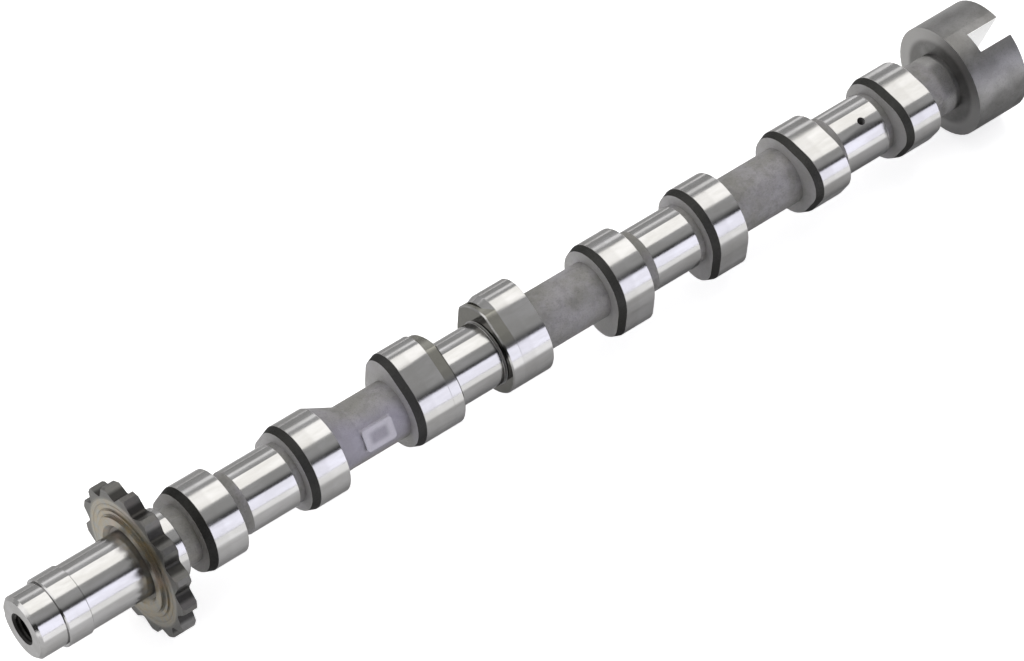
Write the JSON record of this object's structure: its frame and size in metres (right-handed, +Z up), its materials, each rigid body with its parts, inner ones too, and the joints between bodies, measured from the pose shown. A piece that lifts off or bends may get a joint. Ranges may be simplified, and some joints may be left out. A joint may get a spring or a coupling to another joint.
{
  "type": "camshaft",
  "caption": "Twin-cam engine camshaft: cast shaft with ground lobes and bearing journals, a chain sprocket on the threaded nose and a slotted drive head at the rear.",
  "frame": {"origin": "centre of the nose end face, at the mouth of the threaded bolt hole", "axes": "+X along the shaft from the nose to the slotted head, +Z up, +Y to the left seen from the nose"},
  "size_m": [0.4272, 0.0572, 0.0573],
  "materials": {
    "cast_shaft": "cast, with ground lobes, journals and nose",
    "sprocket_steel": "turned steel with heat tint, dark oxide on the teeth"
  },
  "bodies": {
    "root": {"camshaft": "cast_shaft", "chain_sprocket": "sprocket_steel"}
  },
  "joints": []
}
